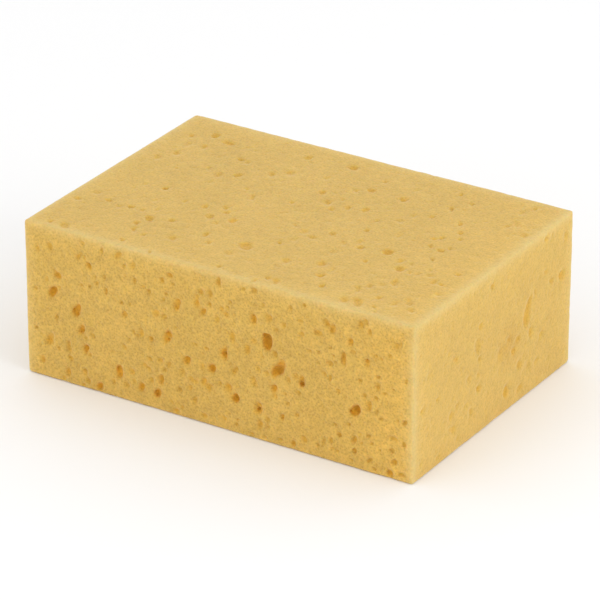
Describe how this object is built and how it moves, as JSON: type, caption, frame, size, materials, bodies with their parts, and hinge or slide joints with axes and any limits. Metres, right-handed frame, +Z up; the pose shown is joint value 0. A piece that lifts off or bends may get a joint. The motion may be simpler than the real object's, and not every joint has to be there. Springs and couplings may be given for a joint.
{
  "type": "grouting sponge block",
  "caption": "Rectangular block of coarse open-cell foam with softly rounded edges, for washing grout and adhesive off tiled floors and walls.",
  "frame": {"origin": "centre of the bottom face", "axes": "+X along the block's length, +Y across its width away from the front long face, +Z up, out of the top broad face"},
  "size_m": [0.16, 0.11, 0.06],
  "materials": {
    "foam": "matte dry polyurethane foam with open pores, golden yellow"
  },
  "bodies": {
    "root": {"sponge_block": "foam"}
  },
  "joints": []
}
